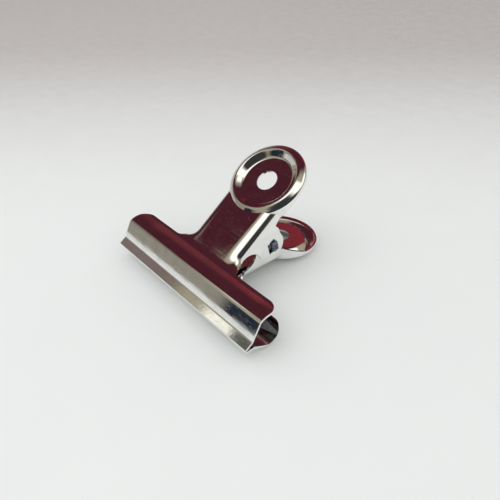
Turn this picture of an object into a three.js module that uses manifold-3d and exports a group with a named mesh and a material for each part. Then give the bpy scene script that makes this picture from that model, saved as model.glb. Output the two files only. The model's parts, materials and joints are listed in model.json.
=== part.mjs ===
// Letter clip with round thumb discs: two pressed-steel levers hinged on lanced tabs, and a leaf spring.
// Millimetres. Built flat about the plane where the lips meet, then tilted to rest on its lower lever.
import * as THREE from 'three';
import { mergeVertices } from 'three/addons/utils/BufferGeometryUtils.js';
import Module from 'manifold-3d';

const wasm = await Module();
wasm.setup();

// Sheet and fits
const SHEET = 0.8; // thickness of the lever steel
const FIT_GAP = 0.3; // clearance kept between pieces that touch on the real clip

// Jaw blade, in the plane across its width: y runs back from the lip, z up from the plane where the lips meet
const JAW_WIDTH = 76;
const LIP_FLARE_LENGTH = 2.2; // flange turned out in front of the lip
const LIP_FLARE_ANGLE = 12;
const JAW_FACE_ANGLE = 46; // front face, measured from the plane of the lips
const KNUCKLE_BACK = 7.0; // middle of the sheet at the knuckle, back from the lip
const BLADE_FALL_ANGLE = 24; // slope of the blade behind the knuckle
const BLADE_BACK = 14.4; // back edge of the blade's wings
const BLADE_CORNER_RADIUS = 4.5;
const LIP_FOLD_INSIDE = 0.1; // inside bend radii
const KNUCKLE_INSIDE = 1.4;
const VALLEY_INSIDE = 2.1; // bend where the blade meets the neck
const LEVER_BENDS = [LIP_FOLD_INSIDE, KNUCKLE_INSIDE, VALLEY_INSIDE].map((inside) => inside + SHEET / 2);

// Neck, a channel with its sides turned in toward the other lever
const HANDLE_ANGLE = 19; // each neck and disc, from the plane of the lips
const UPPER_NECK_HALF = 12.5; // over the outside of the ears; the lower lever's ears fit inside these
const NECK_FILLET_RADIUS = 5; // in plan, between blade and neck
const SHOULDER_RADIUS = 3; // outside radius of the bend from neck to ear

// Ears, in the neck's own frame: along the neck from the lip, and depth below its outer face
const EAR_FRONT = 19.5;
const EAR_FRONT_DEPTH = 3.5;
const EAR_FRONT_CORNER = 20.5; // where the front flange ends and the hollow curve begins
const EAR_HOLLOW_RADIUS = 6;
const EAR_LOBE_CENTRE = 32.4;
const EAR_LOBE_DEPTH = 12.7;
const EAR_LOBE_RADIUS = 5.9;
const FLANGE_ROOT_DEPTH = 6.2; // rim flange where it leaves the ear
const FLANGE_TIP = 52; // where that flange has tapered away, along the neck
const FLANGE_TIP_DEPTH = 1.6;

// Hinge: a slot in each upper ear, and a lanced tab on each lower ear that stands in it
const SLOT_WIDTH = 3.8;
const SLOT_LENGTH = 7.5;
const TAB_LENGTH = 4.2;
const TAB_THICKNESS = 0.8;
const TAB_PROUD = 0.8; // how far the tab stands out past the upper ear
const WINDOW_WIDTH = 2.2; // opening that the tab was lanced from, in front of it

// Thumb disc, a pressed dish with a raised bead; heights are from the neck's outer face
const DISC_CENTRE = 50.9; // along the neck from the lip
const DISC_HOLE_RADIUS = 4.1;
const DISC_FLAT_RADIUS = 10.1;
const DISC_FLAT_HEIGHT = -1.2;
const BEAD_RADIUS = 12.9; // to the middle of its crest
const BEAD_HEIGHT = 1.0;
const BEAD_CREST_WIDTH = 1.4; // before its edges are rounded
const DISC_RADIUS = 15.5;
const DISC_SHOULDER_HEIGHT = -1.0; // where the outer slope turns down into the rim
const DISC_RIM_HEIGHT = -2.1;
const DISC_FOOT_BEND = 1.0; // bend radii are to the outer face
const BEAD_BEND = 1.2;
const DISC_SHOULDER_BEND = 1.2;
const DISC_BENDS = [DISC_FOOT_BEND, BEAD_BEND, BEAD_BEND, DISC_SHOULDER_BEND];
const NECK_END_RADIUS = 14.3; // neck and ears run in under the bead as far as this

// Leaf spring: one strip bent to a V between the necks, its bend toward the jaws
const SPRING_THICKNESS = 0.7;
const SPRING_WIDTH = 17;
const SPRING_BEND_CENTRE = 23; // back from the lip
const SPRING_BEND_RADIUS = 4.2; // to the middle of the strip
const SPRING_LEG_END = 39; // along the neck from the lip

// Smoothness
const BEND_STEPS = 8;
const ARC_STEPS = 12;
const DISC_BEND_STEPS = 3;
const DISC_SIDES = 72;
const OVERLAP = 0.2; // how far joined bodies run into each other
const REACH = 120; // longer than anything cut or kept by it

const rad = THREE.MathUtils.degToRad;

// ---------------------------------------------------------------- solids

function toManifold(geometry) {
  const plain = geometry.clone();
  plain.deleteAttribute('normal');
  plain.deleteAttribute('uv');
  const merged = mergeVertices(plain, 1e-4);
  return new wasm.Manifold(new wasm.Mesh({
    numProp: 3,
    vertProperties: new Float32Array(merged.attributes.position.array),
    triVerts: new Uint32Array(merged.index.array),
  }));
}

function toGeometry(solid) {
  const mesh = solid.getMesh();
  const geometry = new THREE.BufferGeometry();
  geometry.setAttribute('position', new THREE.BufferAttribute(new Float32Array(mesh.vertProperties), 3));
  geometry.setIndex(new THREE.BufferAttribute(new Uint32Array(mesh.triVerts), 1));
  geometry.computeVertexNormals();
  return geometry;
}

function box(lowX, highX, lowY, highY, lowZ, highZ) {
  const geometry = new THREE.BoxGeometry(highX - lowX, highY - lowY, highZ - lowZ);
  geometry.translate((lowX + highX) / 2, (lowY + highY) / 2, (lowZ + highZ) / 2);
  return toManifold(geometry);
}

// A shape drawn in (y, z), carried across the width from lowX to highX.
function acrossWidth(shape, lowX, highX, steps = BEND_STEPS) {
  const geometry = new THREE.ExtrudeGeometry(shape, {
    depth: highX - lowX,
    bevelEnabled: false,
    curveSegments: steps,
  });
  const yAxis = new THREE.Vector3(0, 1, 0);
  const zAxis = new THREE.Vector3(0, 0, 1);
  const xAxis = new THREE.Vector3(1, 0, 0);
  geometry.applyMatrix4(new THREE.Matrix4().makeBasis(yAxis, zAxis, xAxis));
  geometry.translate(lowX, 0, 0);
  return toManifold(geometry);
}

// A shape drawn in plan (x, y), carried up and down past everything.
function throughPlan(shape) {
  const geometry = new THREE.ExtrudeGeometry(shape, {
    depth: REACH,
    bevelEnabled: false,
    curveSegments: ARC_STEPS,
  });
  geometry.translate(0, 0, -REACH / 2);
  return toManifold(geometry);
}

// A shape drawn in (x, height), carried along the neck from front to back.
function alongNeck(shape, front, back) {
  const geometry = new THREE.ExtrudeGeometry(shape, {
    depth: back - front,
    bevelEnabled: false,
    curveSegments: BEND_STEPS,
  });
  geometry.rotateX(Math.PI / 2);
  geometry.translate(0, back, 0);
  return toManifold(geometry);
}

// A closed (radius, height) profile turned about the disc's centre.
function turned(profile) {
  const points = profile.map(([radius, height]) => new THREE.Vector2(radius, height));
  points.push(points[0].clone());
  const geometry = new THREE.LatheGeometry(points, DISC_SIDES);
  geometry.rotateX(Math.PI / 2);
  geometry.translate(0, DISC_CENTRE, 0);
  return toManifold(geometry);
}

// Everything within a radius of the disc's centre.
function drum(radius) {
  return turned([[0, -REACH / 2], [radius, -REACH / 2], [radius, REACH / 2], [0, REACH / 2]]);
}

// ---------------------------------------------------------------- bent sheet

// Where a bend of the given radius is centred, inside the corner between two straight runs.
function bendCentre(before, corner, after, radius) {
  const inward = before.clone().sub(corner).normalize();
  const outward = after.clone().sub(corner).normalize();
  const half = Math.acos(inward.dot(outward)) / 2;
  return inward.add(outward).normalize().multiplyScalar(radius / Math.sin(half)).add(corner);
}

// Corner points joined by straight runs, each inner corner rounded to its radius.
function roundedPath(corners, radii, steps = BEND_STEPS) {
  const path = [corners[0]];
  for (let i = 1; i < corners.length - 1; i += 1) {
    const [before, corner, after] = corners.slice(i - 1, i + 2);
    const inward = before.clone().sub(corner).normalize();
    const outward = after.clone().sub(corner).normalize();
    const half = Math.acos(inward.dot(outward)) / 2;
    const centre = bendCentre(before, corner, after, radii[i - 1]);
    const start = corner.clone().addScaledVector(inward, radii[i - 1] / Math.tan(half)).sub(centre);
    const turn = Math.sign(start.cross(outward)) * (Math.PI - 2 * half);
    for (let k = 0; k <= steps; k += 1) {
      const point = start.clone().rotateAround(new THREE.Vector2(), turn * k / steps);
      path.push(point.add(centre));
    }
  }
  path.push(corners[corners.length - 1]);
  return path;
}

// The section of a sheet that reaches given distances above and below a path.
function thicken(path, above, below) {
  const upper = [];
  const lower = [];
  for (let i = 0; i < path.length; i += 1) {
    const before = path[Math.max(i - 1, 0)];
    const after = path[Math.min(i + 1, path.length - 1)];
    const along = after.clone().sub(before).normalize();
    const normal = new THREE.Vector2(-along.y, along.x);
    upper.push(path[i].clone().addScaledVector(normal, above));
    lower.push(path[i].clone().addScaledVector(normal, -below));
  }
  return new THREE.Shape(lower.concat(upper.reverse()));
}

function direction(degrees) {
  return new THREE.Vector2(Math.cos(rad(degrees)), Math.sin(rad(degrees)));
}

// Where the line from a along one direction meets the line from b along another.
function meet(a, alongA, b, alongB) {
  const run = b.clone().sub(a).cross(alongB) / alongA.cross(alongB);
  return a.clone().addScaledVector(alongA, run);
}

// Corners of the middle of the lever's sheet: flare tip, fold, knuckle, valley, and the neck under the disc.
function leverCorners() {
  const fold = new THREE.Vector2(0, (FIT_GAP + SHEET) / 2);
  const flareTip = fold.clone().addScaledVector(direction(180 - LIP_FLARE_ANGLE), LIP_FLARE_LENGTH);
  const knuckle = fold.clone();
  knuckle.addScaledVector(direction(JAW_FACE_ANGLE), KNUCKLE_BACK / Math.cos(rad(JAW_FACE_ANGLE)));
  const along = direction(HANDLE_ANGLE);
  const neckStart = new THREE.Vector2(along.y, -along.x).multiplyScalar(SHEET / 2);
  const valley = meet(knuckle, direction(-BLADE_FALL_ANGLE), neckStart, along);
  const neckEnd = neckStart.clone().addScaledVector(along, DISC_CENTRE);
  return [flareTip, fold, knuckle, valley, neckEnd];
}

// From a place along the neck and a height over its outer face to the plane across the width.
function fromNeck(along, height) {
  return new THREE.Vector2(along, height).rotateAround(new THREE.Vector2(), rad(HANDLE_ANGLE));
}

// ---------------------------------------------------------------- lever

// Plan of the blade and the root of the neck: rounded back corners, and hollow fillets into the neck.
function bladePlan(neckHalf) {
  const end = JAW_WIDTH / 2;
  const corner = BLADE_CORNER_RADIUS;
  const fillet = NECK_FILLET_RADIUS;
  const filletX = neckHalf + fillet;
  const filletY = BLADE_BACK + fillet;
  const plan = new THREE.Shape();
  plan.moveTo(-end, -REACH);
  plan.lineTo(end, -REACH);
  plan.lineTo(end, BLADE_BACK - corner);
  plan.absarc(end - corner, BLADE_BACK - corner, corner, 0, Math.PI / 2, false);
  plan.absarc(filletX, filletY, fillet, -Math.PI / 2, -Math.PI, true);
  plan.absarc(-filletX, filletY, fillet, 0, -Math.PI / 2, true);
  plan.absarc(corner - end, BLADE_BACK - corner, corner, Math.PI / 2, Math.PI, false);
  return plan;
}

// The neck's section: a flat top with rounded shoulders and short sides.
function neckSection(half) {
  const inner = SHOULDER_RADIUS - SHEET;
  const centre = half - SHOULDER_RADIUS;
  const section = new THREE.Shape();
  section.moveTo(half, -EAR_FRONT_DEPTH);
  section.absarc(centre, -SHOULDER_RADIUS, SHOULDER_RADIUS, 0, Math.PI / 2, false);
  section.absarc(-centre, -SHOULDER_RADIUS, SHOULDER_RADIUS, Math.PI / 2, Math.PI, false);
  section.lineTo(-half, -EAR_FRONT_DEPTH);
  section.lineTo(SHEET - half, -EAR_FRONT_DEPTH);
  section.absarc(-centre, -SHOULDER_RADIUS, inner, Math.PI, Math.PI / 2, true);
  section.absarc(centre, -SHOULDER_RADIUS, inner, Math.PI / 2, 0, true);
  section.lineTo(half - SHEET, -EAR_FRONT_DEPTH);
  return section;
}

// The ear's outline, drawn along the neck and below its face, with the flange that tapers along the rim.
function earOutline() {
  const hollowFoot = EAR_FRONT_DEPTH + EAR_HOLLOW_RADIUS;
  const rear = EAR_LOBE_CENTRE + EAR_LOBE_RADIUS;
  const outline = new THREE.Shape();
  outline.moveTo(EAR_FRONT_CORNER, -SHOULDER_RADIUS);
  outline.lineTo(EAR_FRONT_CORNER, -EAR_FRONT_DEPTH);
  outline.absarc(EAR_FRONT_CORNER, -hollowFoot, EAR_HOLLOW_RADIUS, Math.PI / 2, 0, true);
  outline.absarc(EAR_LOBE_CENTRE, -EAR_LOBE_DEPTH, EAR_LOBE_RADIUS, Math.PI, 2 * Math.PI, false);
  outline.lineTo(rear, -FLANGE_ROOT_DEPTH);
  outline.lineTo(FLANGE_TIP, -FLANGE_TIP_DEPTH);
  outline.lineTo(FLANGE_TIP, OVERLAP - FLANGE_TIP_DEPTH);
  outline.lineTo(rear, -SHOULDER_RADIUS);
  return outline;
}

// The dished disc with its hole, raised bead and turned-down rim.
function disc() {
  const corners = [
    new THREE.Vector2(DISC_HOLE_RADIUS, DISC_FLAT_HEIGHT),
    new THREE.Vector2(DISC_FLAT_RADIUS, DISC_FLAT_HEIGHT),
    new THREE.Vector2(BEAD_RADIUS - BEAD_CREST_WIDTH / 2, BEAD_HEIGHT),
    new THREE.Vector2(BEAD_RADIUS + BEAD_CREST_WIDTH / 2, BEAD_HEIGHT),
    new THREE.Vector2(DISC_RADIUS, DISC_SHOULDER_HEIGHT),
    new THREE.Vector2(DISC_RADIUS, DISC_RIM_HEIGHT),
  ];
  const path = roundedPath(corners, DISC_BENDS, DISC_BEND_STEPS);
  return turned(thicken(path, 0, SHEET).getPoints().map((point) => [point.x, point.y]));
}

// One lever with its outer face upward, its ears standing at the given half width. Holes are cut later.
function lever(neckHalf) {
  const section = thicken(roundedPath(leverCorners(), LEVER_BENDS), SHEET / 2, SHEET / 2);
  const sheet = acrossWidth(section, -JAW_WIDTH / 2, JAW_WIDTH / 2);
  const blade = sheet.intersect(throughPlan(bladePlan(neckHalf)));
  const channel = alongNeck(neckSection(neckHalf), EAR_FRONT, DISC_CENTRE);
  const outline = earOutline();
  const rightEar = acrossWidth(outline, neckHalf - SHEET, neckHalf, ARC_STEPS);
  const leftEar = acrossWidth(outline, -neckHalf, SHEET - neckHalf, ARC_STEPS);

  // Neck and ears stop under the bead. The rim hangs down only outside the ears, and its flange follows it.
  const neck = channel.add(rightEar).add(leftEar).subtract(drum(NECK_END_RADIUS));
  const ring = turned([
    [DISC_RADIUS - SHEET, -REACH / 2],
    [DISC_RADIUS, -REACH / 2],
    [DISC_RADIUS, DISC_RIM_HEIGHT + OVERLAP],
    [DISC_RADIUS - SHEET, DISC_RIM_HEIGHT + OVERLAP],
  ]);
  const insideEars = neckHalf - SHEET / 2;
  const between = box(-insideEars, insideEars, 0, REACH, -REACH / 2, REACH / 2);
  const flange = ring.intersect(acrossWidth(outline, -REACH / 2, REACH / 2, ARC_STEPS)).subtract(between);
  const channelHalf = neckHalf - SHEET;
  const underNeck = box(-channelHalf, channelHalf, 0, DISC_CENTRE, -REACH / 2, -SHEET);
  const dish = disc().subtract(underNeck.subtract(drum(BEAD_RADIUS + BEAD_CREST_WIDTH / 2)));
  const handle = neck.add(flange).add(dish).rotate([HANDLE_ANGLE, 0, 0]);
  return blade.add(handle);
}

// The hinge line crosses the middle of the slots, at the centre of the upper lever's round ears.
const hinge = fromNeck(EAR_LOBE_CENTRE, -EAR_LOBE_DEPTH);

function upperLever() {
  const slot = box(
    -REACH / 2,
    REACH / 2,
    EAR_LOBE_CENTRE - SLOT_WIDTH / 2,
    EAR_LOBE_CENTRE + SLOT_WIDTH / 2,
    -EAR_LOBE_DEPTH - SLOT_LENGTH / 2,
    -EAR_LOBE_DEPTH + SLOT_LENGTH / 2,
  );
  return lever(UPPER_NECK_HALF).subtract(slot.rotate([HANDLE_ANGLE, 0, 0]));
}

// The lower lever is built upper side up like the other, then turned over about the line from lip to disc.
function lowerLever() {
  const neckHalf = UPPER_NECK_HALF - SHEET - FIT_GAP;
  const earInside = neckHalf - SHEET;
  const tabEnd = UPPER_NECK_HALF + TAB_PROUD;
  const tabFront = hinge.x - TAB_THICKNESS / 2;
  const tabBack = hinge.x + TAB_THICKNESS / 2;
  const low = -hinge.y - TAB_LENGTH / 2;
  const high = -hinge.y + TAB_LENGTH / 2;
  const window = box(-REACH / 2, REACH / 2, tabFront - WINDOW_WIDTH, tabFront, low, high);
  const rightTab = box(earInside, tabEnd, tabFront, tabBack, low, high);
  const leftTab = box(-tabEnd, -earInside, tabFront, tabBack, low, high);
  return lever(neckHalf).subtract(window).add(rightTab).add(leftTab).rotate([0, 180, 0]);
}

// ---------------------------------------------------------------- spring

// A strip bent to a V: each leg leaves the bend on a tangent and ends just short of its neck.
function leafSpring() {
  const half = SPRING_THICKNESS / 2;
  const legEnd = fromNeck(SPRING_LEG_END, -SHEET - FIT_GAP - half);
  const reach = legEnd.clone().sub(new THREE.Vector2(SPRING_BEND_CENTRE, 0));
  const legAngle = reach.angle() - Math.asin(SPRING_BEND_RADIUS / reach.length());
  const path = [legEnd];
  for (let k = 0; k <= 2 * BEND_STEPS; k += 1) {
    const turn = legAngle + Math.PI / 2 + (Math.PI - 2 * legAngle) * k / (2 * BEND_STEPS);
    const spoke = new THREE.Vector2(Math.cos(turn), Math.sin(turn)).multiplyScalar(SPRING_BEND_RADIUS);
    path.push(spoke.add(new THREE.Vector2(SPRING_BEND_CENTRE, 0)));
  }
  path.push(new THREE.Vector2(legEnd.x, -legEnd.y));
  return acrossWidth(thicken(path, half, half), -SPRING_WIDTH / 2, SPRING_WIDTH / 2);
}

// ---------------------------------------------------------------- the clip, at rest on its lower lever

// Turn that lays the lower lever's knuckle and the back of its bead on one level.
function restTilt() {
  const [, fold, knuckle, valley] = leverCorners();
  const centre = bendCentre(fold, knuckle, valley, KNUCKLE_INSIDE + SHEET / 2);
  const toBead = fromNeck(DISC_CENTRE + BEAD_RADIUS, BEAD_HEIGHT).sub(centre);
  return toBead.angle() - Math.asin((KNUCKLE_INSIDE + SHEET) / toBead.length());
}

function piece(name, solid, material) {
  const mesh = new THREE.Mesh(toGeometry(solid), material);
  mesh.name = name;
  return mesh;
}

const plated = new THREE.MeshStandardMaterial({ color: 0xd2d0cb, roughness: 0.12, metalness: 1 });
const springSteel = new THREE.MeshStandardMaterial({ color: 0x8d8b88, roughness: 0.3, metalness: 1 });

const clip = new THREE.Group();
clip.name = 'binder_clip';
clip.add(piece('upper_lever', upperLever(), plated));
clip.add(piece('lower_lever', lowerLever(), plated));
clip.add(piece('leaf_spring', leafSpring(), springSteel));

// Tilt, then put the middle of the footprint at the origin with the lowest points at z = 0.
const tilt = restTilt();
clip.children.forEach((mesh) => mesh.geometry.rotateX(tilt));
const extent = new THREE.Box3().setFromObject(clip, true);
const seat = new THREE.Vector3(
  -(extent.min.x + extent.max.x) / 2,
  -(extent.min.y + extent.max.y) / 2,
  -extent.min.z,
);
clip.children.forEach((mesh) => mesh.geometry.translate(seat.x, seat.y, seat.z));

export default clip;
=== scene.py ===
"""Letter clip with round thumb discs, in bright plated steel, lying on its lower lever on a pale table.

Shapes are worked out in millimetres in each lever's own frame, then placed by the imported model's hinge and
disc faces. In a lever's frame, x is across the clip, s runs along the neck from the lips, and h is the height
over the neck's face.
"""
import json
import math

import bmesh
import bpy
import numpy as np
from mathutils import Matrix


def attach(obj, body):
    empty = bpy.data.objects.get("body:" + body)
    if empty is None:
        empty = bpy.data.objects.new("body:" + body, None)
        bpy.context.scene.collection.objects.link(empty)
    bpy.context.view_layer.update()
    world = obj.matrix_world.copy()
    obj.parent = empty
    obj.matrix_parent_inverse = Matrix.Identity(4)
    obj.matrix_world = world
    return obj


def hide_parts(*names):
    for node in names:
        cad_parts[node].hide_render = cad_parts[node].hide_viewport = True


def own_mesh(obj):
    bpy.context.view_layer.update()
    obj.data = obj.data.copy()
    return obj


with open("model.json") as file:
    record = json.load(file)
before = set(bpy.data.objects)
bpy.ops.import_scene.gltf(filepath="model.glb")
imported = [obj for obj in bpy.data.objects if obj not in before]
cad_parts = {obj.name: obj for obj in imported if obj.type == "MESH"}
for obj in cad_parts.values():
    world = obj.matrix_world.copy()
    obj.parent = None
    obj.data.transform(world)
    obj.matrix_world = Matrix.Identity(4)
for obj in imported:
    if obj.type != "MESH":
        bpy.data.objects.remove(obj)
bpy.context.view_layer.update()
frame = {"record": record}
record = frame["record"]

# ---------------------------------------------------------------- sizes, in millimetres and degrees

MM = 0.001
MERGE = 0.002  # points closer than this become one
EDGE_BREAK = 0.12  # width of the small round on the cut edges
CUT_EDGE_ANGLE = 50  # an edge sharper than this is a cut edge
SHEET = 0.8
FIT_GAP = 0.3

# Side view of a lever from the lip's tip to the neck. Places are distances back from where the lips meet.
LIP_TIP = -2.15
LIP_FOLD = 1.0
FACE_BOW = 0.1
FACE_BOW_SHARE = 0.2  # where the jaw face bows, as a share of the way from the fold to the knuckle
JAW_FACE_ANGLE = 46
KNUCKLE_BACK = 7.0
BLADE_FALL_ANGLE = 24
BLADE_BACK = 14.4
HANDLE_ANGLE = 19
PROFILE_REACHES = [(0.4, 0.3), (1.0, 3.0), (1.9, 4.6), (1.6, 1.9)]  # at fold, bow, knuckle and valley
PROFILE_STEP = 0.04

# The blade, which falls away less toward its ends than in its middle.
JAW_HALF = 38.0
BLADE_CORNER = 4.5
BLADE_END_LIFT = 0.5
LIFT_ACROSS = (26, 38)  # the lift grows from nothing to full over this stretch across the clip
LIFT_ALONG = (8.5, 15.0)  # and over this one along the lever

# Neck, shoulders and ears. Depths are below the neck's face.
UPPER_NECK_HALF = 12.5
LOWER_NECK_HALF = UPPER_NECK_HALF - SHEET - FIT_GAP
SHOULDER_DROP = 3.0
SHOULDER_FORMED = 21.5  # where along the neck its shoulders have turned fully down
FILLET = 5.0
FILLET_FLARE = 3.3  # how much wider the blank is at the blade than on the neck, on each side
FINE_COLUMNS_LEAD = 0.3  # how far inside the bend line the mesh's columns start to lie closer
EAR_EDGE_DEPTH = 3.5
EAR_FRONT = 20.5
EAR_HOLLOW = 6.0
EAR_PAST_RIM = 0.45  # how far back the ear runs past the place where the disc's rim crosses it
LOBE_ALONG = 32.4
LOBE_DEPTH = 12.7
LOBE_RADIUS = 5.9
EAR_SIDE = LOBE_ALONG - LOBE_RADIUS
EAR_REAR = LOBE_ALONG + LOBE_RADIUS
HOLLOW_DEPTH = EAR_EDGE_DEPTH + EAR_HOLLOW
FLANGE_ROOT_DEPTH = 6.2
FLANGE_TIP = 52.0
FLANGE_TIP_DEPTH = 1.6

# The slot in the upper ear, and the tab and its window in the lower one.
SLOT_WIDTH = 3.8
SLOT_LENGTH = 5.0
WINDOW_WIDTH = 2.2
TAB_LENGTH = 4.2
TAB_SHEET = 0.7
TAB_ROOT = 1.0  # how much of the tab lies in the lower ear before it turns out
TAB_PROUD = 0.9
TAB_HOOK = 2.3
TAB_REACHES = [(0.8, 0.8), (0.6, 0.7)]  # where it turns out, and where it is bent over
TAB_STEP = 0.1
TAB_EDGE_BREAK = 0.1

# The dished disc, from its hole's edge over the bead to the rim's edge.
DISC_ALONG = 50.9
HOLE_RADIUS = 4.1
FLAT_RADIUS = 10.1
FLAT_HEIGHT = -1.2
BEAD_RADIUS = 12.9
BEAD_HEIGHT = 0.9
CREST_HALF = 0.25
DISC_RADIUS = 15.5
SHOULDER_HEIGHT = -0.55  # where the disc's outer slope turns down into its rim
RIM_HEIGHT = -2.1
DISC_REACHES = [(0.4, 0.8), (0.8, 0.24), (0.24, 0.8), (0.9, 0.5)]  # at floor, crest, crest and shoulder
DISC_STEP = 0.13
DISC_SPOKES = 240
RIM_SLACK = 0.02  # how far inside the rim's wall a point may lie and still belong to the rim
NECK_END_RADIUS = 14.3
JOIN_MARGIN = 0.2  # how far inside the neck's end the disc starts to keep within the neck's sheet
JOIN_HALF = 0.12  # half the thickness that the disc keeps inside the neck's sheet

SPRING_THICKNESS = 0.7
SPRING_WIDTH = 17.0
SPRING_BEND_BACK = 23.0
SPRING_BEND_RADIUS = 4.2
SPRING_LEG_END = 39.0

# ---------------------------------------------------------------- where things are

hinge_at = np.array(record["behaviour"]["joints"][0]["pos_m"]) / MM
face_axis = {m["name"]: np.array(m["axis"], float) for m in record["mounts"] if m["kind"] == "flat_face"}


def turn(degrees):
    """Unit vector at an angle, as (cosine, sine)."""
    return np.array([math.cos(math.radians(degrees)), math.sin(math.radians(degrees))])


class LeverFrame:
    """A lever's own axes in the model: right, along the neck and out of the neck's face, and their zero."""

    def __init__(self, face):
        self.up = face / np.linalg.norm(face)
        side = math.copysign(1.0, self.up[2])
        self.right = np.array([side, 0.0, 0.0])
        self.along = side * np.array([0.0, self.up[2], -self.up[1]])
        self.zero = None

    def place(self, x, s, h):
        """Model position of points given across, along and over the neck: zero + x right + s along + h up."""
        x, s, h = np.broadcast_arrays(x, s, h)
        return self.zero + x[..., None] * self.right + s[..., None] * self.along + h[..., None] * self.up


upper = LeverFrame(face_axis["upper_disc_face"])
lower = LeverFrame(face_axis["lower_disc_face"])
upper.zero = hinge_at - LOBE_ALONG * upper.along + LOBE_DEPTH * upper.up
# The two necks' faces start from the same line, the one between the lips.
lower.zero = upper.zero.copy()


def from_lips(back, rise):
    """(s, h) of a place given by its distance back from the lips and its rise over where they meet."""
    c, k = turn(HANDLE_ANGLE)
    return back * c + rise * k, rise * c - back * k


# Back and rise of the hinge, which is from_lips turned round.
hinge_from_lips = np.array([
    LOBE_ALONG * turn(HANDLE_ANGLE)[0] + LOBE_DEPTH * turn(HANDLE_ANGLE)[1],
    LOBE_ALONG * turn(HANDLE_ANGLE)[1] - LOBE_DEPTH * turn(HANDLE_ANGLE)[0],
])


# ---------------------------------------------------------------- meshes


def grid_faces(rows, columns, start=0, ring=False):
    """Quads of a grid of rows by columns, counted from start. A ring's last column joins its first."""
    r = np.arange(rows - 1)[:, None]
    c = np.arange(columns if ring else columns - 1)[None, :]
    d = (c + 1) % columns
    corners = [r * columns + c, r * columns + d, (r + 1) * columns + d, (r + 1) * columns + c]
    return np.stack(np.broadcast_arrays(*corners), -1).reshape(-1, 4) + start


class Sheet:
    """Grids of points gathered into one mesh."""

    def __init__(self):
        self.points = []
        self.faces = []
        self.count = 0

    def add(self, grid, outward, ring=False):
        """Adds a (rows, columns, 3) grid, its faces turned so that they look along outward."""
        faces = grid_faces(grid.shape[0], grid.shape[1], self.count, ring)
        across = grid[:-1, 1:] - grid[:-1, :-1]
        along = grid[1:, :-1] - grid[:-1, :-1]
        facing = np.sum(np.cross(across, along) @ np.asarray(outward, float))
        self.faces.append(faces if facing > 0 else faces[:, ::-1])
        self.points.append(grid.reshape(-1, 3))
        self.count += grid.shape[0] * grid.shape[1]

    def build(self, name):
        """One mesh object in metres, its doubles merged."""
        mesh = bpy.data.meshes.new(name)
        points = np.concatenate(self.points) * MM
        mesh.from_pydata(points.tolist(), [], np.concatenate(self.faces).tolist())
        work = bmesh.new()
        work.from_mesh(mesh)
        bmesh.ops.remove_doubles(work, verts=work.verts, dist=MERGE * MM)
        bmesh.ops.dissolve_degenerate(work, edges=work.edges, dist=MERGE * MM / 10)
        work.to_mesh(mesh)
        work.free()
        mesh.shade_smooth()
        thing = bpy.data.objects.new(name, mesh)
        bpy.context.scene.collection.objects.link(thing)
        return thing


def break_edges(thing, width):
    """Breaks the cut edges with a small round."""
    edge = thing.modifiers.new("broken_edges", "BEVEL")
    edge.width = width * MM
    edge.segments = 2
    edge.limit_method = "ANGLE"
    edge.angle_limit = math.radians(CUT_EDGE_ANGLE)
    edge.harden_normals = True
    return thing


def give_wall(thing, thickness, offset=-1.0, inner_slot=0):
    """Gives a sheet its thickness: behind its faces at offset -1, or half on each side at 0.

    The new inner side takes the material that is inner_slot places after the outer one.
    """
    wall = thing.modifiers.new("wall", "SOLIDIFY")
    wall.thickness = thickness * MM
    wall.offset = offset
    wall.use_even_offset = True
    wall.use_quality_normals = True
    wall.material_offset = inner_slot
    return thing


# ---------------------------------------------------------------- lever sheet


def smooth(low, high, value):
    """0 below low, 1 above high, and an S curve between."""
    t = np.clip((value - low) / (high - low), 0, 1)
    return t * t * (3 - 2 * t)


def swept_corners(corners, reaches, step):
    """Points a step apart on a run of straight lines whose corners are swept by parabolas.

    Each parabola leaves the lines at its two reaches, before and after its corner.
    """
    points = [corners[0]]
    t = np.linspace(0, 1, 33)[:, None]
    for i, (before, after) in enumerate(reaches, start=1):
        back = corners[i - 1] - corners[i]
        ahead = corners[i + 1] - corners[i]
        start = corners[i] + before * back / np.linalg.norm(back)
        end = corners[i] + after * ahead / np.linalg.norm(ahead)
        points.extend((1 - t) ** 2 * start + 2 * t * (1 - t) * corners[i] + t ** 2 * end)
    points = np.array(points + [corners[-1]])
    run = np.concatenate([[0], np.cumsum(np.linalg.norm(np.diff(points, axis=0), axis=1))])
    keep = np.concatenate([[True], np.diff(run) > 1e-6])
    run, points = run[keep], points[keep]
    even = np.linspace(0, run[-1], int(run[-1] / step) + 1)
    return np.stack([np.interp(even, run, points[:, k]) for k in (0, 1)], -1)


def run_and_normals(points):
    """Distance along a line of points, and the unit normal on its left."""
    run = np.concatenate([[0], np.cumsum(np.linalg.norm(np.diff(points, axis=0), axis=1))])
    slope = np.gradient(points, run, axis=0)
    slope /= np.linalg.norm(slope, axis=1)[:, None]
    return run, np.stack([-slope[:, 1], slope[:, 0]], -1)


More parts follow.
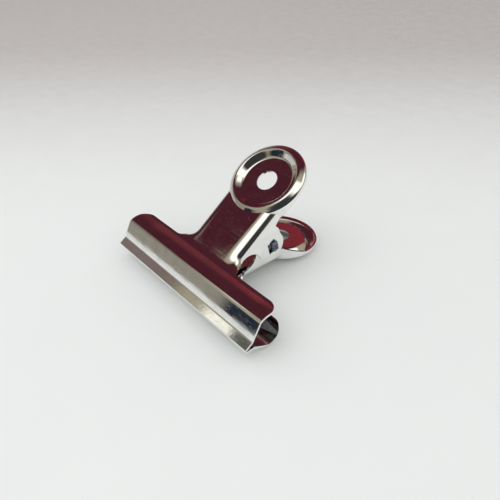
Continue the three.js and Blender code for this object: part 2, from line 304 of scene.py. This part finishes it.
class Profile:
    """The outer face of a lever along its length, in (s, h).

    From the lip's tip it runs up the flange and the slightly bowed jaw face, over the knuckle, down the blade
    and through the valley onto the neck.
    """

    def __init__(self):
        lips = np.array([0.0, (FIT_GAP + SHEET) / 2])
        face = turn(JAW_FACE_ANGLE)
        fold = lips + LIP_FOLD / face[0] * face
        knuckle = lips + KNUCKLE_BACK / face[0] * face
        outward = np.array([-face[1], face[0]])
        bow = (1 - FACE_BOW_SHARE) * fold + FACE_BOW_SHARE * knuckle + FACE_BOW * outward
        along = turn(HANDLE_ANGLE)
        fall = turn(-BLADE_FALL_ANGLE)
        neck = SHEET / 2 * np.array([along[1], -along[0]])
        gap = neck - knuckle
        reach = (gap[0] * along[1] - gap[1] * along[0]) / (fall[0] * along[1] - fall[1] * along[0])
        corners = [lips + [LIP_TIP, 0.0], fold, bow, knuckle, knuckle + reach * fall]
        corners.append(neck + DISC_ALONG * along)
        middle = swept_corners(corners, PROFILE_REACHES, PROFILE_STEP)
        outer = middle + SHEET / 2 * run_and_normals(middle)[1]
        self.back = outer[:, 0]
        self.points = np.stack(from_lips(outer[:, 0], outer[:, 1]), -1)
        self.run, self.normals = run_and_normals(self.points)

    def run_at_back(self, back):
        """Run along the profile at a distance back from the lips."""
        return np.interp(back, self.back, self.run)

    def run_at_neck(self, s):
        """Run along the profile at a place on the neck, where it is straight."""
        return self.run[-1] - (self.points[-1, 0] - s)

    def at(self, run):
        """s, h and the two parts of the outward normal."""
        values = (self.points[:, 0], self.points[:, 1], self.normals[:, 0], self.normals[:, 1])
        return [np.interp(run, self.run, v) for v in values]


profile = Profile()
ROOT_RUN = float(profile.run_at_back(BLADE_BACK))
ROOT_ALONG = float(profile.at(ROOT_RUN)[0])


def spiral(share, bend):
    """How far across and down a line of unit length has come after a share of it.

    Its slope grows with the square of the way gone, and reaches bend at its end.
    """
    node, weight = np.polynomial.legendre.leggauss(10)
    share, bend = np.broadcast_arrays(share, bend)
    slope = (bend * share ** 2)[..., None] * ((node + 1) / 2) ** 2
    return share * (np.cos(slope) @ weight) / 2, share * (np.sin(slope) @ weight) / 2


SHOULDER_LENGTH = SHOULDER_DROP / float(spiral(1.0, math.pi / 2)[1])
SHOULDER_ACROSS = SHOULDER_LENGTH * float(spiral(1.0, math.pi / 2)[0])


def fold_across(w, run, half):
    """Where the point of the flat blank at w across and run along goes.

    Inside the neck's flat it stays on the profile. Past the bend line it turns down on a spiral of fixed
    length, gently at first and then tightly, whose whole turn grows from nothing at the blade's back edge to
    a right angle on the neck. Past the spiral it goes straight on.
    """
    s, h, normal_s, normal_h = profile.at(run)
    flat = half - SHOULDER_ACROSS
    bend = math.pi / 2 * smooth(ROOT_ALONG, SHOULDER_FORMED, s)
    past = np.maximum(np.abs(w) - flat, 0)
    across, down = spiral(np.minimum(past / SHOULDER_LENGTH, 1), bend)
    straight = np.maximum(past - SHOULDER_LENGTH, 0)
    x = np.minimum(np.abs(w), flat) + SHOULDER_LENGTH * across + straight * np.cos(bend)
    drop = SHOULDER_LENGTH * down + straight * np.sin(bend)
    return np.sign(w) * x, s - normal_s * drop, h - normal_h * drop


def shoulder_middle(x, half):
    """Height of the middle of the neck's sheet at x across: the formed shoulder's face, half a sheet in."""
    share = np.linspace(0, 1, 201)
    across, down = spiral(share, math.pi / 2)
    slope = math.pi / 2 * share ** 2
    at = SHOULDER_LENGTH * across - SHEET / 2 * np.sin(slope)
    depth = SHOULDER_LENGTH * down + SHEET / 2 * np.cos(slope)
    return -np.interp(np.abs(x) - (half - SHOULDER_ACROSS), at, depth)


def ring_crossing(radius, half):
    """Where along the neck a circle about the disc's centre crosses the neck's side, toward the lips."""
    return DISC_ALONG - math.sqrt(radius ** 2 - half ** 2)


def flange_depth(s):
    """Depth of the flange's lower edge, which tapers in a straight line from the ear to its tip."""
    share = (s - EAR_REAR) / (FLANGE_TIP - EAR_REAR)
    return FLANGE_ROOT_DEPTH + (FLANGE_TIP_DEPTH - FLANGE_ROOT_DEPTH) * share


def ear_stops(half):
    """Places along the neck of the ear grids' columns: over the hollow, over the lobe, and behind it."""
    front = EAR_FRONT + EAR_HOLLOW * np.sin(np.linspace(0, math.pi / 2, 21))
    lobe = np.linspace(EAR_SIDE, EAR_REAR, 31)
    rear = np.linspace(EAR_REAR, ring_crossing(DISC_RADIUS, half) + EAR_PAST_RIM, 9)
    return front, lobe, rear


def ear_grids(half, hole_corners):
    """The ear's flat grids in (s, depth), each with whether it closes on itself.

    They are the web over the hollow, the rear web, and the ring from the hole's edge to the outline.
    """
    front, lobe, rear = ear_stops(half)
    rise = np.linspace(0, 1, 15)[:, None]
    hollow = HOLLOW_DEPTH - np.sqrt(np.maximum(EAR_HOLLOW ** 2 - (front - EAR_FRONT) ** 2, 0))
    web = EAR_EDGE_DEPTH + rise * (hollow - EAR_EDGE_DEPTH)
    yield np.stack([np.broadcast_to(front, web.shape), web], -1), False

    fall = np.linspace(0, 1, 9)[:, None]
    tail = EAR_EDGE_DEPTH + fall * (flange_depth(rear) - EAR_EDGE_DEPTH)
    yield np.stack([np.broadcast_to(rear, tail.shape), tail], -1), False

    around = np.linspace(0, math.pi, 49)
    spokes = np.stack([np.cos(around), np.sin(around)], -1)
    lobe_edge = np.array([LOBE_ALONG, LOBE_DEPTH]) + LOBE_RADIUS * spokes
    right_side = np.concatenate([tail[1:, 0], np.linspace(FLANGE_ROOT_DEPTH, LOBE_DEPTH, 15)[1:]])
    left_side = np.concatenate([np.linspace(LOBE_DEPTH, HOLLOW_DEPTH, 9)[1:], web[::-1, -1][1:]])
    outline = np.concatenate([
        np.stack([lobe, np.full(lobe.shape, EAR_EDGE_DEPTH)], -1),
        np.stack([np.full(right_side.shape, EAR_REAR), right_side], -1),
        lobe_edge[1:],
        np.stack([np.full(left_side.shape, EAR_SIDE), left_side], -1)[:-1],
    ])
    # Each outline point looks toward the hole's middle, and meets the hole's edge where that line crosses it.
    middle = hole_corners.mean(axis=0)
    look = outline - middle
    sides = np.roll(hole_corners, -1, axis=0) - hole_corners
    normals = np.stack([sides[:, 1], -sides[:, 0]], -1)
    reach = np.sum(normals * (hole_corners - middle), axis=1)
    share = np.max((look @ normals.T) / reach, axis=1)
    edge = middle + look / share[:, None]
    out = np.linspace(0, 1, 13)[:, None, None]
    yield edge + out * (outline - edge), True


def hole_box(low, high, angle):
    """Corners of a rectangle in (s, depth) about the middle of the lobe, turned by an angle."""
    c, k = turn(angle)
    corners = np.array([[low[0], low[1]], [high[0], low[1]], [high[0], high[1]], [low[0], high[1]]])
    return corners @ np.array([[c, k], [-k, c]]) + np.array([LOBE_ALONG, LOBE_DEPTH])


def blank_half(half):
    """Half the width of the flat blank that makes the neck and its shoulders, down to the ears' top edge."""
    return half - SHOULDER_ACROSS + SHOULDER_LENGTH + EAR_EDGE_DEPTH - SHOULDER_DROP


def blank_columns(half):
    """The mesh's columns across the blank, from -1 to 1, closer together over the shoulders."""
    fine = (half - SHOULDER_ACROSS - FINE_COLUMNS_LEAD) / blank_half(half)
    columns = np.concatenate([np.linspace(0, fine, 15)[:-1], np.linspace(fine, 1, 35)])
    return np.concatenate([-columns[:0:-1], columns])


def blade_grid(half):
    """The blade in (x, s, h): its back edge is straight, with a round corner at each end."""
    root = blank_half(half) + FILLET_FLARE
    straight = np.linspace(root, JAW_HALF - BLADE_CORNER, 30)[:-1]
    corner = JAW_HALF - BLADE_CORNER + BLADE_CORNER * np.sin(np.linspace(0, math.pi / 2, 15))
    outer = np.concatenate([straight, corner])
    across = np.concatenate([-outer[::-1], blank_columns(half)[1:-1] * root, outer])
    past = np.maximum(np.abs(across) - (JAW_HALF - BLADE_CORNER), 0)
    back_edge = BLADE_BACK - BLADE_CORNER + np.sqrt(np.maximum(BLADE_CORNER ** 2 - past ** 2, 0))
    run = np.linspace(0, 1, 111)[:, None] * profile.run_at_back(back_edge)[None, :]
    x = np.broadcast_to(across, run.shape)
    s, h, _, _ = profile.at(run)
    end_lift = BLADE_END_LIFT * smooth(*LIFT_ACROSS, np.abs(x)) * smooth(*LIFT_ALONG, s)
    return x, s, h + end_lift


def neck_grid(half):
    """The neck in (x, s, h), from the blade's back edge to under the bead, with its shoulders turned down."""
    columns = blank_columns(half)
    blank_edge = blank_half(half)
    root = blank_edge + FILLET_FLARE
    front, lobe, rear = ear_stops(half)
    edge_end = profile.run_at_neck(ring_crossing(NECK_END_RADIUS, half))
    ear_runs = profile.run_at_neck(np.concatenate([front, lobe[1:], rear[1:]]))
    before = np.linspace(ROOT_RUN, ear_runs[0], 25)[:-1]
    after = np.linspace(ear_runs[-1], edge_end, 5)[1:]
    edge = np.concatenate([before, ear_runs, after])
    share = ((edge - ROOT_RUN) / (edge_end - ROOT_RUN))[:, None]
    column_x = np.minimum(np.abs(columns) * blank_edge, half)
    run_far = profile.run_at_neck(DISC_ALONG - np.sqrt(NECK_END_RADIUS ** 2 - column_x ** 2))
    run_far[[0, -1]] = edge_end
    run = ROOT_RUN + share * (run_far - ROOT_RUN)
    into_fillet = np.clip((profile.at(run)[0] - ROOT_ALONG) / FILLET, 0, 1)
    width = blank_edge + (root - blank_edge) * (1 - np.sqrt(1 - (1 - into_fillet) ** 2))
    return fold_across(columns * width, run, half)


def lever_sheet(name, lever, half, hole_corners):
    """The stamping without its disc: blade, neck and ears, on grids that share their edges."""
    sheet = Sheet()
    sheet.add(lever.place(*blade_grid(half)), lever.up)
    sheet.add(lever.place(*neck_grid(half)), lever.up)
    for side in (-1, 1):
        for patch, ring in ear_grids(half, hole_corners):
            sheet.add(lever.place(side * half, patch[..., 0], -patch[..., 1]), side * lever.right, ring)
    thing = sheet.build(name)
    return break_edges(give_wall(thing, SHEET, inner_slot=1), EDGE_BREAK)


# ---------------------------------------------------------------- disc


def lever_disc(name, lever, half):
    """The dished disc turned about its centre: the pressed profile out to the rim, and its inside back again.

    The rim's straight part reaches down to the flange's tapering edge beside the ears, and where the disc
    crosses the neck the rim stays inside the neck's sheet.
    """
    corners = np.array([
        [HOLE_RADIUS, FLAT_HEIGHT],
        [FLAT_RADIUS, FLAT_HEIGHT],
        [BEAD_RADIUS - CREST_HALF, BEAD_HEIGHT],
        [BEAD_RADIUS + CREST_HALF, BEAD_HEIGHT],
        [DISC_RADIUS, SHOULDER_HEIGHT],
        [DISC_RADIUS, RIM_HEIGHT],
    ])
    face = swept_corners(corners, DISC_REACHES, DISC_STEP)
    inside = face - SHEET * run_and_normals(face)[1]
    loop = np.concatenate([face, inside[::-1]])[:, None, :]
    radius = loop[..., 0]
    angle = np.linspace(0, 2 * math.pi, DISC_SPOKES + 1)[None, :-1]
    x = radius * np.sin(angle)
    s = DISC_ALONG - radius * np.cos(angle)
    h = np.broadcast_to(loop[..., 1], x.shape)

    rim_x = np.abs(DISC_RADIUS * np.sin(angle))
    rim_s = DISC_ALONG - DISC_RADIUS * np.cos(angle)
    beside_ears = rim_x > half - SHEET / 2
    depth = np.where(beside_ears, np.maximum(flange_depth(rim_s), -RIM_HEIGHT), -RIM_HEIGHT)
    straight = SHOULDER_HEIGHT - DISC_REACHES[-1][1]
    stretch = (depth + straight) / (straight - RIM_HEIGHT)
    in_rim = (h < straight) & (radius > DISC_RADIUS - SHEET - RIM_SLACK)
    h = np.where(in_rim, straight + (h - straight) * stretch, h)

    at_neck = (np.abs(x) < half - SHEET / 2) & (s < DISC_ALONG) & (radius > NECK_END_RADIUS - JOIN_MARGIN)
    outside = (np.arange(len(loop)) < len(face))[:, None]
    level = shoulder_middle(x, half) + np.where(outside, JOIN_HALF, -JOIN_HALF)
    h = np.where(at_neck, np.maximum(h, level), h)
    grid = lever.place(x, s, h)
    sheet = Sheet()
    sheet.add(np.concatenate([grid, grid[:1]]), lever.up, ring=True)
    return break_edges(sheet.build(name), EDGE_BREAK)


# ---------------------------------------------------------------- hinge tab and spring


def hinge_tab(name, side):
    """The tongue lanced from a lower ear.

    It leaves the ear, goes square out through the upper slot, and is bent over toward the disc, close along
    the upper ear's outside.
    """
    ear = LOWER_NECK_HALF - SHEET / 2
    out = UPPER_NECK_HALF + TAB_PROUD - TAB_SHEET / 2
    corners = np.array([[ear, TAB_ROOT], [ear, 0.0], [out, 0.0], [out, TAB_HOOK]])
    path = swept_corners(corners, TAB_REACHES, TAB_STEP)
    rise = np.linspace(-TAB_LENGTH / 2, TAB_LENGTH / 2, 15)[:, None]
    hinge_back, hinge_rise = hinge_from_lips
    s, h = from_lips(hinge_back + path[:, 1], hinge_rise + rise)
    sheet = Sheet()
    sheet.add(upper.place(side * path[:, 0], s, h), upper.along)
    thing = sheet.build(name)
    return break_edges(give_wall(thing, TAB_SHEET, offset=0.0), TAB_EDGE_BREAK)


def leaf_spring(name):
    """One strip bent to a V: a leg under the upper neck, an arc toward the lips, a leg over the lower neck."""
    under = SHEET + FIT_GAP + SPRING_THICKNESS / 2
    c, k = turn(HANDLE_ANGLE)
    leg_end = np.array([SPRING_LEG_END * c + under * k, SPRING_LEG_END * k - under * c])
    reach = leg_end - np.array([SPRING_BEND_BACK, 0.0])
    length = np.linalg.norm(reach)
    leg_angle = math.atan2(reach[1], reach[0]) - math.asin(SPRING_BEND_RADIUS / length)
    spoke = np.linspace(leg_angle + math.pi / 2, 1.5 * math.pi - leg_angle, 49)
    bend = SPRING_BEND_RADIUS * np.stack([np.cos(spoke), np.sin(spoke)], -1) + [SPRING_BEND_BACK, 0.0]
    leg = leg_end + np.linspace(0, 1, 41)[:-1, None] * (bend[0] - leg_end)
    path = np.concatenate([leg, bend, (leg * [1, -1])[::-1]])
    s, h = from_lips(path[:, 0], path[:, 1])
    across = np.linspace(-SPRING_WIDTH / 2, SPRING_WIDTH / 2, 35)[:, None]
    sheet = Sheet()
    sheet.add(upper.place(across, s, h), upper.up)
    thing = sheet.build(name)
    return break_edges(give_wall(thing, SPRING_THICKNESS, offset=0.0), EDGE_BREAK)


# ---------------------------------------------------------------- materials


class Nodes:
    """A node tree built a node at a time. Inputs are named or numbered, and are values or sockets to link."""

    def __init__(self, tree):
        self.tree = tree
        tree.nodes.clear()

    def add(self, kind, inputs=(), **settings):
        node = self.tree.nodes.new(kind)
        for name, value in settings.items():
            setattr(node, name, value)
        for name, value in dict(inputs).items():
            if isinstance(value, bpy.types.NodeSocket):
                self.tree.links.new(value, node.inputs[name])
            else:
                node.inputs[name].default_value = value
        return node

    def math(self, operation, a, b):
        return self.add("ShaderNodeMath", {0: a, 1: b}, operation=operation).outputs[0]

    def along(self, vector, direction):
        """How far a vector goes along a direction."""
        inputs = {0: vector, 1: direction}
        return self.add("ShaderNodeVectorMath", inputs, operation="DOT_PRODUCT").outputs["Value"]

    def ramp(self, value, low, high, to_low=0.0, to_high=1.0):
        """An S curve from to_low at low to to_high at high."""
        inputs = {"Value": value, "From Min": low, "From Max": high, "To Min": to_low, "To Max": to_high}
        return self.add("ShaderNodeMapRange", inputs, interpolation_type="SMOOTHSTEP").outputs[0]

    def mix(self, share, a, b):
        """Colour a where share is 0, and b where it is 1."""
        node = self.add("ShaderNodeMix", data_type="RGBA")
        for name, value in (("Factor_Float", share), ("A_Color", a), ("B_Color", b)):
            socket = next(i for i in node.inputs if i.identifier == name)
            if isinstance(value, bpy.types.NodeSocket):
                self.tree.links.new(value, socket)
            else:
                socket.default_value = value if name == "Factor_Float" else (*value, 1.0)
        return next(o for o in node.outputs if o.identifier == "Result_Color")

    def noise(self, coordinates, scale, detail):
        inputs = {"Vector": coordinates, "Scale": scale, "Detail": detail}
        return self.add("ShaderNodeTexNoise", inputs).outputs["Fac"]

    def stretched(self, coordinates, scale, turned=(0.0, 0.0, 0.0)):
        inputs = {"Vector": coordinates, "Scale": scale, "Rotation": turned}
        return self.add("ShaderNodeMapping", inputs).outputs[0]

    def bump(self, height, distance, normal=None):
        """Relief of a depth in metres, on top of the relief that normal already has."""
        inputs = {"Height": height, "Distance": distance, "Strength": 1.0}
        if normal is not None:
            inputs["Normal"] = normal
        return self.add("ShaderNodeBump", inputs).outputs[0]

    def metal(self, tint, rough, bumped):
        """A metal surface as the tree's result."""
        inputs = {"Base Color": tint, "Roughness": rough, "Normal": bumped, "Metallic": 1.0}
        shader = self.add("ShaderNodeBsdfPrincipled", inputs)
        self.add("ShaderNodeOutputMaterial", {"Surface": shader.outputs[0]})


def new_material(name):
    """An empty material, its node tree, and the place on the piece that its patterns follow."""
    material = bpy.data.materials.new(name)
    material.use_nodes = True
    n = Nodes(material.node_tree)
    return material, n, n.add("ShaderNodeTexCoord").outputs["Object"]


def plated_steel():
    """Bright nickel plate: mirror-like, with press waviness, orange peel, pits, scratches and dull patches."""
    material, n, place = new_material("plated_steel")
    waves = n.noise(place, 70, 1.0)
    peel = n.noise(place, 900, 2.0)
    pits = n.ramp(n.noise(place, 2600, 1.0), 0.70, 0.80)
    hair = n.stretched(place, (60, 2600, 2600), (0.2, 0.1, 0.5))
    hairlines = n.ramp(n.noise(hair, 1.0, 2.0), 0.66, 0.74)
    cross = n.stretched(place, (2400, 90, 2400), (0.0, 0.3, -0.4))
    cross_lines = n.ramp(n.noise(cross, 1.0, 2.0), 0.69, 0.77)
    scratches = n.math("MAXIMUM", hairlines, cross_lines)
    bumped = n.bump(waves, 0.00006)
    bumped = n.bump(peel, 0.000005, bumped)
    bumped = n.bump(n.math("MULTIPLY", pits, -1.0), 0.00001, bumped)
    bumped = n.bump(n.math("MULTIPLY", scratches, -1.0), 0.0000012, bumped)
    dull = n.ramp(n.noise(place, 160, 4.0), 0.35, 0.75, 0.035, 0.10)
    rough = n.math("ADD", dull, n.math("MULTIPLY", scratches, 0.10))
    tint = n.mix(n.ramp(n.noise(place, 240, 3.0), 0.3, 0.7), (0.87, 0.865, 0.845), (0.93, 0.925, 0.91))
    tint = n.mix(n.math("MULTIPLY", pits, 0.5), tint, (0.45, 0.43, 0.41))
    n.metal(tint, rough, bumped)
    return material


def inner_painted_shade():
    """Inner side of the upper lever, inside the fold of the jaw: darker and duller, a painted shade and
    painted reflection of dark surroundings, in cloudy patches.
    """
    material, n, place = new_material("inner_painted_shade")
    cloud = n.noise(place, 220, 4.0)
    # Painted shade: a dark grey-navy that stands in for the shade and dark surroundings mirrored inside the
    # upper jaw.
    tint = n.mix(n.ramp(cloud, 0.3, 0.7), (0.13, 0.13, 0.16), (0.24, 0.235, 0.25))
    rough = n.ramp(n.noise(place, 700, 2.0), 0.3, 0.7, 0.10, 0.22)
    bumped = n.bump(n.noise(place, 900, 2.0), 0.000008)
    n.metal(tint, rough, bumped)
    return material


def tab_painted_shade():
    """The hinge tab, with dents and drag marks, in a dark blue-grey that is painted shade and painted
    reflection of dark surroundings.
    """
    material, n, place = new_material("tab_painted_shade")
    dents = n.noise(place, 900, 2.0)
    drag = n.noise(n.stretched(place, (900, 900, 5000), (0.5, 0.0, 0.0)), 1.0, 2.0)
    # Painted shade: the dark blue-grey stands in for the shade and dark surroundings seen on the tab.
    tint = n.mix(n.ramp(dents, 0.38, 0.62), (0.045, 0.055, 0.085), (0.20, 0.21, 0.27))
    rough = n.ramp(drag, 0.3, 0.7, 0.22, 0.42)
    bumped = n.bump(drag, 0.00001, n.bump(dents, 0.00008))
    n.metal(tint, rough, bumped)
    return material


def spring_steel():
    """Plated strip with the fine lengthwise lines of rolling, duller than the levers."""
    material, n, place = new_material("spring_steel")
    rolled = n.noise(n.stretched(place, (3200, 60, 60)), 1.0, 3.0)
    peel = n.noise(place, 1300, 2.0)
    rough = n.ramp(rolled, 0.3, 0.7, 0.18, 0.27)
    bumped = n.bump(peel, 0.000003, n.bump(rolled, 0.0000012))
    tint = n.mix(n.ramp(n.noise(place, 300, 3.0), 0.35, 0.7), (0.46, 0.45, 0.44), (0.56, 0.55, 0.53))
    n.metal(tint, rough, bumped)
    return material


def table_top():
    """Pale smooth table: a faint mottle and a soft sheen, with painted shade that makes it darker and warmer
    away behind the clip.
    """
    material, n, place = new_material("table_top")
    # Painted shade: the colour turns darker and warmer away behind the clip, standing in for light falling off
    # there.
    away = n.ramp(n.along(place, (-0.74, 0.67, 0.0)), 0.02, 0.34)
    near = n.mix(n.noise(place, 30, 3.0), (0.845, 0.87, 0.86), (0.875, 0.895, 0.885))
    colour = n.mix(away, near, (0.60, 0.575, 0.565))
    rough = n.ramp(n.noise(place, 90, 2.0), 0.3, 0.7, 0.42, 0.52)
    inputs = {"Base Color": colour, "Roughness": rough, "Specular IOR Level": 0.3}
    shader = n.add("ShaderNodeBsdfPrincipled", inputs)
    n.add("ShaderNodeOutputMaterial", {"Surface": shader.outputs[0]})
    return material


# ---------------------------------------------------------------- the clip

plated = plated_steel()
# inner is a painted shade for the upper lever's inner side.
inner = inner_painted_shade()
# worked is a painted shade for the hinge tabs.
worked = tab_painted_shade()
sprung = spring_steel()

slot = hole_box((-SLOT_WIDTH / 2, -SLOT_LENGTH / 2), (SLOT_WIDTH / 2, SLOT_LENGTH / 2), HANDLE_ANGLE)
window = hole_box((-SHEET / 2 - WINDOW_WIDTH, -TAB_LENGTH / 2), (-SHEET / 2, TAB_LENGTH / 2), HANDLE_ANGLE)

made = [
    (lever_sheet("upper_lever_blade", upper, UPPER_NECK_HALF, slot), "upper", "upper_lever"),
    (lever_disc("upper_lever_disc", upper, UPPER_NECK_HALF), "upper", "upper_lever"),
    (lever_sheet("lower_lever_blade", lower, LOWER_NECK_HALF, window), "lower", "lower_lever"),
    (lever_disc("lower_lever_disc", lower, LOWER_NECK_HALF), "lower", "lower_lever"),
    (hinge_tab("hinge_tab_left", -1), "lower", "lower_lever"),
    (hinge_tab("hinge_tab_right", 1), "lower", "lower_lever"),
]
for piece, body, node in made:
    # Hinge tabs take the painted shade of worked.
    piece.data.materials.append(worked if piece.name.startswith("hinge_tab") else plated)
    if piece.name.endswith("blade"):
        # The upper blade's inner side takes the painted shade of inner.
        piece.data.materials.append(inner if body == "upper" else plated)
    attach(piece, body)
    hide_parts(node)

spring = leaf_spring("leaf_spring_strip")
spring.data.materials.append(sprung)
spring_seat = lower.place(0.0, SPRING_LEG_END, -(SHEET + FIT_GAP)) * MM
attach(spring, "lower")
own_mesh(spring)
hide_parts("leaf_spring")

# ---------------------------------------------------------------- camera, table and light


def add_camera():
    """The viewpoint: above and in front of the clip's right-hand end, rolled a little about its own axis."""
    standing = [0.10939, -0.09636, 0.11926]
    looking = [-0.58655, 0.52787, -0.61426]
    roll = -0.644
    lens = bpy.data.cameras.new("camera")
    lens.sensor_width = 36
    lens.lens = 33.49
    lens.clip_start, lens.clip_end = 0.005, 20
    camera = bpy.data.objects.new("camera", lens)
    bpy.context.scene.collection.objects.link(camera)
    ahead = np.array(looking) / np.linalg.norm(looking)
    level = np.cross(ahead, [0, 0, 1])
    level /= np.linalg.norm(level)
    c, k = turn(roll)
    right = c * level + k * np.cross(level, ahead)
    matrix = np.eye(4)
    matrix[:3, 0], matrix[:3, 1], matrix[:3, 2] = right, np.cross(right, ahead), -ahead
    matrix[:3, 3] = standing
    camera.matrix_world = Matrix(matrix.tolist())
    bpy.context.scene.camera = camera


def add_table():
    """A wide flat top under the clip."""
    half_width = 2.5
    t = np.linspace(-1, 1, 21) * half_width
    x, y = np.meshgrid(t, t)
    sheet = Sheet()
    sheet.add(np.stack([x, y, 0 * x], -1) / MM, (0, 0, 1))
    table = sheet.build("table")
    table.data.materials.append(table_top())


def add_surroundings():
    """Soft even light all round, and the room that the plating mirrors.

    The room has a maroon ceiling on the left, white on the right, and dark things low down.
    """
    even_light = (0.86, 0.86, 0.855)
    navy = (0.012, 0.018, 0.032)
    world = bpy.data.worlds.new("studio")
    bpy.context.scene.world = world
    world.use_nodes = True
    n = Nodes(world.node_tree)
    toward = n.add("ShaderNodeTexCoord").outputs["Generated"]
    part = n.add("ShaderNodeSeparateXYZ", {0: toward}).outputs

    def spot(direction, full, faded):
        """1 within an angle of a direction, fading to 0 at another."""
        share = n.along(toward, tuple(np.array(direction) / np.linalg.norm(direction)))
        return n.ramp(share, math.cos(math.radians(faded)), math.cos(math.radians(full)))

    def all_of(*masks):
        product = masks[0]
        for mask in masks[1:]:
            product = n.math("MULTIPLY", product, mask)
        return product

    # Walls of a warm grey, more golden with height, and browner to the left of the clip's front.
    room = n.mix(n.ramp(part[2], 0.05, 0.5), (0.27, 0.25, 0.21), (0.36, 0.335, 0.245))
    room = n.mix(spot((-0.75, -0.49, 0.45), 5, 13), room, (0.20, 0.155, 0.135))
    # White overhead and in front, and once more high behind the clip on its right.
    leftward = n.along(toward, (-0.545, 0.839, 0.0))
    bright = all_of(n.ramp(part[2], 0.66, 0.84), n.ramp(leftward, -0.07, -0.20))
    room = n.mix(bright, room, (1.20, 1.18, 1.10))
    room = n.mix(spot((0.515, 0.361, 0.777), 14, 20), room, (1.20, 1.18, 1.12))
    # Dark bulk toward the viewer, which reaches low across the clip's front.
    room = n.mix(spot((0.77, -0.60, 0.21), 38, 49), room, (0.035, 0.035, 0.037))
    low_front = all_of(spot((0.53, -0.848, 0.0), 59, 63), n.ramp(part[2], 0.26, 0.14))
    room = n.mix(low_front, room, navy)
    room = n.mix(spot((-0.437, -0.897, 0.052), 7.5, 10.0), room, navy)
    # A small bright thing and a dim one beside it, in front.
    room = n.mix(spot((-0.555, -0.505, 0.66), 1.2, 3.2), room, (1.0, 0.98, 0.88))
    room = n.mix(spot((-0.48, -0.53, 0.70), 2.0, 4.0), room, (0.10, 0.10, 0.09))
    # Maroon hanging over the left and the back, lighter and redder low down behind the clip.
    ceiling = all_of(n.ramp(leftward, -0.045, 0.035), n.ramp(part[0], 0.25, 0.0), n.ramp(part[2], 0.05, 0.3))
    low_behind = all_of(n.ramp(n.along(toward, (0.0, 0.8, -0.6)), -0.1, 0.25), n.ramp(part[2], 0.62, 0.40))
    maroon = n.mix(low_behind, (0.064, 0.013, 0.021), (0.140, 0.030, 0.037))
    maroon = n.mix(n.ramp(part[1], 0.62, 0.72), maroon, (0.21, 0.022, 0.030))
    room = n.mix(ceiling, room, maroon)
    room = n.mix(spot((-0.76, -0.40, 0.515), 5, 10), room, (0.20, 0.155, 0.145))
    # Dark things low behind the clip.
    room = n.mix(spot((-0.47, 0.88, 0.03), 16, 24), room, (0.02, 0.025, 0.045))

    glossy = n.add("ShaderNodeLightPath").outputs["Is Glossy Ray"]
    seen = n.mix(glossy, even_light, room)
    background = n.add("ShaderNodeBackground", {"Color": seen, "Strength": 1.0})
    n.add("ShaderNodeOutputWorld", {"Surface": background.outputs[0]})


def add_light():
    """A large soft light above the clip, in front of it and to its left."""
    lamp = bpy.data.lights.new("softbox", "AREA")
    lamp.shape = "DISK"
    lamp.size = 0.5
    lamp.energy = 0.8
    light = bpy.data.objects.new("softbox", lamp)
    bpy.context.scene.collection.objects.link(light)
    tipped_toward_clip = Matrix.Rotation(math.radians(25), 4, (0.30, -0.15, 0))
    light.matrix_world = Matrix.Translation((-0.15, -0.30, 0.65)) @ tipped_toward_clip
    light.visible_glossy = False


add_camera()
add_table()
add_surroundings()
add_light()
bpy.context.scene.view_settings.view_transform = "Standard"
